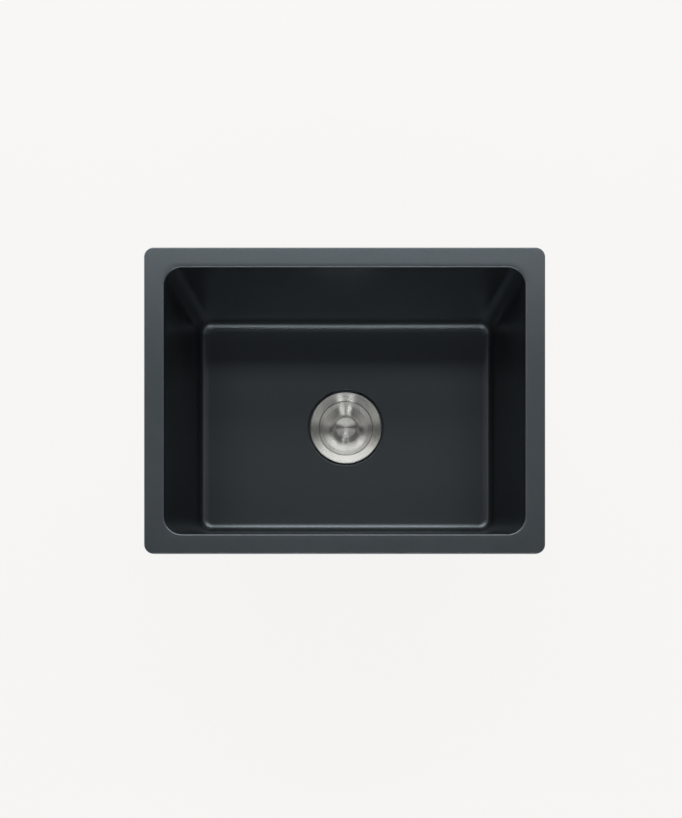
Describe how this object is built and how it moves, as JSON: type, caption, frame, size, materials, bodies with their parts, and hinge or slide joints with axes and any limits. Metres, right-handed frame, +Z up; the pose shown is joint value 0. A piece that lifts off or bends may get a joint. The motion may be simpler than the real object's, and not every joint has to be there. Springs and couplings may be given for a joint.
{
  "type": "kitchen sink",
  "caption": "Inset composite granite sink: one rectangular bowl with a flat rim, a basket strainer waste with lift-out plug and basket, and swing clips under the rim.",
  "frame": {"origin": "on the drain axis at the lower end of the tailpiece, which is the bottom centre of the whole sink", "axes": "+Z up, +X to the right along the long side, +Y towards the back"},
  "size_m": [0.55, 0.42, 0.3186],
  "materials": {
    "granite": "matte, finely mottled charcoal composite",
    "stainless": "turned, with circular brush lines",
    "zinc_steel": "zinc plated",
    "brass": "machined",
    "rubber": "matte",
    "slip_washer": "smooth white plastic",
    "black_plastic": "moulded, slightly satin"
  },
  "bodies": {
    "sink": {"sink_bowl": "granite", "clip_inserts": "brass", "strainer_body": "stainless", "flange_gasket": "rubber", "under_gasket": "rubber", "friction_washer": "slip_washer", "locknut": "black_plastic", "tailpiece_washer": "rubber", "tailpiece": "black_plastic", "coupling_nut": "black_plastic"},
    "basket": {"basket_cup": "stainless", "basket_post": "stainless"},
    "plug": {"plug_cover": "stainless", "plug_knob": "stainless", "plug_seal": "rubber", "plug_screw": "stainless", "plug_washer": "stainless"},
    "clip_screw_front_left": {"clip_screw_front_left": "zinc_steel"},
    "clip_front_left": {"clip_front_left": "zinc_steel"},
    "clip_screw_front_right": {"clip_screw_front_right": "zinc_steel"},
    "clip_front_right": {"clip_front_right": "zinc_steel"},
    "clip_screw_right": {"clip_screw_right": "zinc_steel"},
    "clip_right": {"clip_right": "zinc_steel"},
    "clip_screw_back_right": {"clip_screw_back_right": "zinc_steel"},
    "clip_back_right": {"clip_back_right": "zinc_steel"},
    "clip_screw_back_left": {"clip_screw_back_left": "zinc_steel"},
    "clip_back_left": {"clip_back_left": "zinc_steel"},
    "clip_screw_left": {"clip_screw_left": "zinc_steel"},
    "clip_left": {"clip_left": "zinc_steel"}
  },
  "joints": [
    {"name": "basket_lift", "type": "slide", "parent": "sink", "child": "basket", "axis": [0, 0, 1], "range_m": [0, 0.25]},
    {"name": "plug_lift", "type": "slide", "parent": "basket", "child": "plug", "axis": [0, 0, 1], "range_m": [0, 0.23]},
    {"name": "screw_travel_front_left", "type": "slide", "parent": "sink", "child": "clip_screw_front_left", "axis": [0, 0, 1], "range_m": [0, 0.013]},
    {"name": "clip_swing_front_left", "type": "hinge", "parent": "clip_screw_front_left", "child": "clip_front_left", "pos_m": [-0.15, -0.1935, 0.2606], "axis": [0, 0, -1], "range_deg": [0, 180]},
    {"name": "screw_travel_front_right", "type": "slide", "parent": "sink", "child": "clip_screw_front_right", "axis": [0, 0, 1], "range_m": [0, 0.013]},
    {"name": "clip_swing_front_right", "type": "hinge", "parent": "clip_screw_front_right", "child": "clip_front_right", "pos_m": [0.15, -0.1935, 0.2606], "axis": [0, 0, 1], "range_deg": [0, 180]},
    {"name": "screw_travel_right", "type": "slide", "parent": "sink", "child": "clip_screw_right", "axis": [0, 0, 1], "range_m": [0, 0.013]},
    {"name": "clip_swing_right", "type": "hinge", "parent": "clip_screw_right", "child": "clip_right", "pos_m": [0.2585, 0, 0.2606], "axis": [0, 0, -1], "range_deg": [0, 180]},
    {"name": "screw_travel_back_right", "type": "slide", "parent": "sink", "child": "clip_screw_back_right", "axis": [0, 0, 1], "range_m": [0, 0.013]},
    {"name": "clip_swing_back_right", "type": "hinge", "parent": "clip_screw_back_right", "child": "clip_back_right", "pos_m": [0.15, 0.1935, 0.2606], "axis": [0, 0, -1], "range_deg": [0, 180]},
    {"name": "screw_travel_back_left", "type": "slide", "parent": "sink", "child": "clip_screw_back_left", "axis": [0, 0, 1], "range_m": [0, 0.013]},
    {"name": "clip_swing_back_left", "type": "hinge", "parent": "clip_screw_back_left", "child": "clip_back_left", "pos_m": [-0.15, 0.1935, 0.2606], "axis": [0, 0, 1], "range_deg": [0, 180]},
    {"name": "screw_travel_left", "type": "slide", "parent": "sink", "child": "clip_screw_left", "axis": [0, 0, 1], "range_m": [0, 0.013]},
    {"name": "clip_swing_left", "type": "hinge", "parent": "clip_screw_left", "child": "clip_left", "pos_m": [-0.2585, 0, 0.2606], "axis": [0, 0, 1], "range_deg": [0, 180]}
  ]
}
